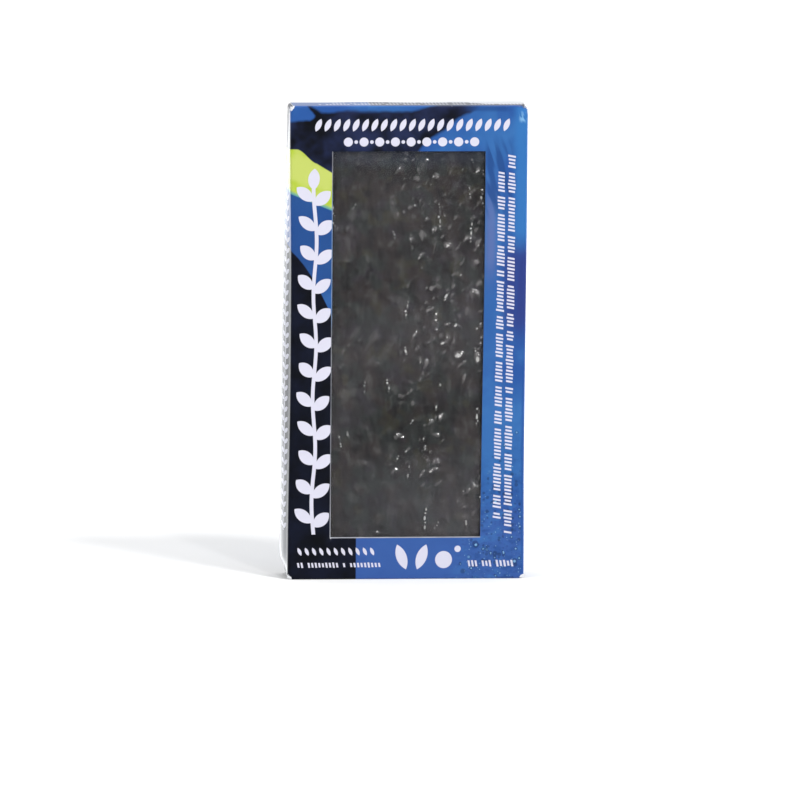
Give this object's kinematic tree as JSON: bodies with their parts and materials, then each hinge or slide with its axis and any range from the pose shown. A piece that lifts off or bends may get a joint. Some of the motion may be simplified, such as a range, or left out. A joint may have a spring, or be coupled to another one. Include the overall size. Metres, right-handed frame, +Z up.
{
  "type": "pack of dried green seaweed sheets",
  "caption": "Slim upright folding carton with a tall film window, shut and filled with thin dark crinkled sheets of dried seaweed.",
  "frame": {"origin": "middle of the pack's base, on the surface it stands on", "axes": "+Z up, -Y out of the window side, +X to the right of someone facing the window"},
  "size_m": [0.0683, 0.016, 0.132],
  "materials": {
    "board": "white-backed carton board printed in blues, navy and yellow-green under a gloss varnish",
    "film": "clear glossy window film with faint wrinkles",
    "seaweed": "dry crinkled charcoal green seaweed with small glossy glints"
  },
  "bodies": {
    "root": {"carton": "board", "window_film": "film", "front_sheet": "seaweed", "sheet_pile": "seaweed"}
  },
  "joints": []
}
